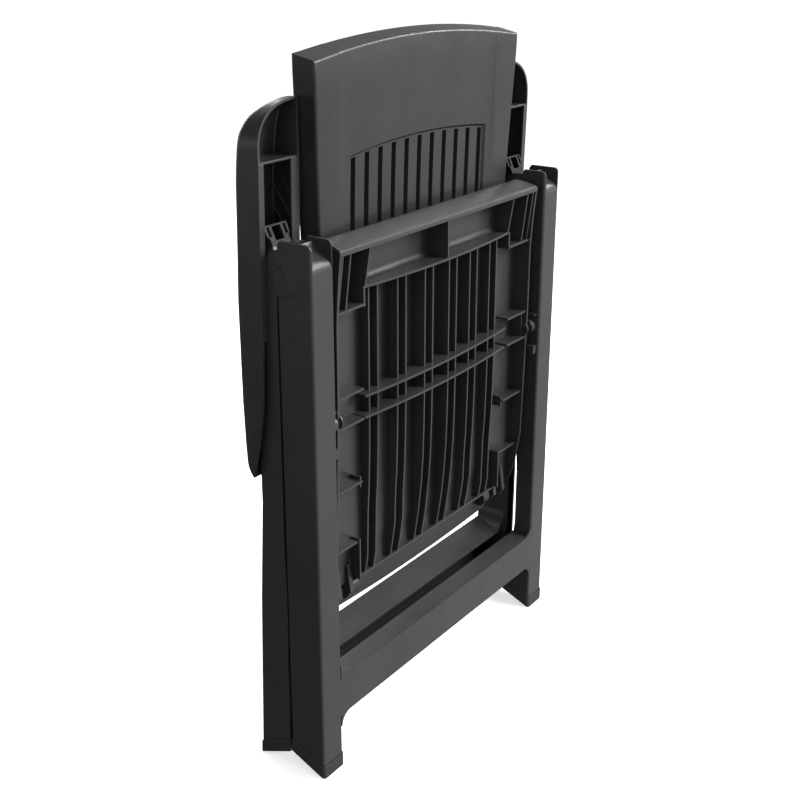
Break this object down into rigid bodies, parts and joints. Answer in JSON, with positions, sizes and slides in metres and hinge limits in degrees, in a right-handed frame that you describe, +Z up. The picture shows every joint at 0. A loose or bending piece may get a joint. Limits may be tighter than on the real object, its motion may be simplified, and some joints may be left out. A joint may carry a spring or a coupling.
{
  "type": "folding chair",
  "caption": "Garden folding armchair of moulded resin with a slotted seat, a tall reclining back and arms that fold flat, standing closed on its slanted feet.",
  "frame": {"origin": "centre of the folded chair's footprint at floor height", "axes": "+Z up, -Y towards the front legs, +X to the right as seen from the front"},
  "size_m": [0.6, 0.1106, 0.9346],
  "materials": {
    "resin": "satin moulded grain",
    "insert_plastic": "satin",
    "pin_plastic": "semi-gloss",
    "foot_plastic": "matte"
  },
  "bodies": {
    "front_legs": {"front_leg_frame": "resin", "front_foot_right": "foot_plastic", "front_foot_left": "foot_plastic"},
    "rear_legs": {"rear_leg_frame": "resin", "rear_foot_right": "foot_plastic", "rear_foot_left": "foot_plastic", "arm_catch_right": "insert_plastic", "arm_catch_left": "insert_plastic", "leg_pivot_pin_right": "pin_plastic", "leg_pivot_pin_left": "pin_plastic"},
    "seat_unit": {"seat": "resin", "seat_pivot_pin_right": "pin_plastic", "seat_pivot_pin_left": "pin_plastic", "back_hinge_pin_right": "pin_plastic", "back_hinge_pin_left": "pin_plastic"},
    "back_unit": {"backrest": "resin", "arm_pivot_pin_right": "pin_plastic", "arm_pivot_pin_left": "pin_plastic"},
    "arm_unit_r": {"arm_right": "resin", "arm_rack_right": "insert_plastic"},
    "arm_unit_l": {"arm_left": "resin", "arm_rack_left": "insert_plastic"}
  },
  "joints": [
    {"name": "seat_fold", "type": "hinge", "parent": "front_legs", "child": "seat_unit", "pos_m": [0, -0.03675, 0.484], "axis": [1, 0, 0], "range_deg": [0, 108]},
    {"name": "rear_leg_fold", "type": "hinge", "parent": "front_legs", "child": "rear_legs", "pos_m": [0, -0.00975, 0.68], "axis": [1, 0, 0], "range_deg": [0, 46.9]},
    {"name": "back_fold", "type": "hinge", "parent": "seat_unit", "child": "back_unit", "pos_m": [0, -0.00675, 0.221], "axis": [1, 0, 0], "range_deg": [-104.5, 0]},
    {"name": "arm_fold_right", "type": "hinge", "parent": "back_unit", "child": "arm_unit_r", "pos_m": [0, 0.02025, 0.44], "axis": [1, 0, 0], "range_deg": [0, 108.9]},
    {"name": "arm_fold_left", "type": "hinge", "parent": "back_unit", "child": "arm_unit_l", "pos_m": [0, 0.02025, 0.44], "axis": [1, 0, 0], "range_deg": [0, 108.9]}
  ],
  "couplings": [
    {"joint": "rear_leg_fold", "follows": "seat_fold", "ratio": 0.43333},
    {"joint": "back_fold", "follows": "seat_fold", "ratio": -0.96667},
    {"joint": "arm_fold_right", "follows": "seat_fold", "ratio": 1.0074},
    {"joint": "arm_fold_left", "follows": "seat_fold", "ratio": 1.0074}
  ]
}
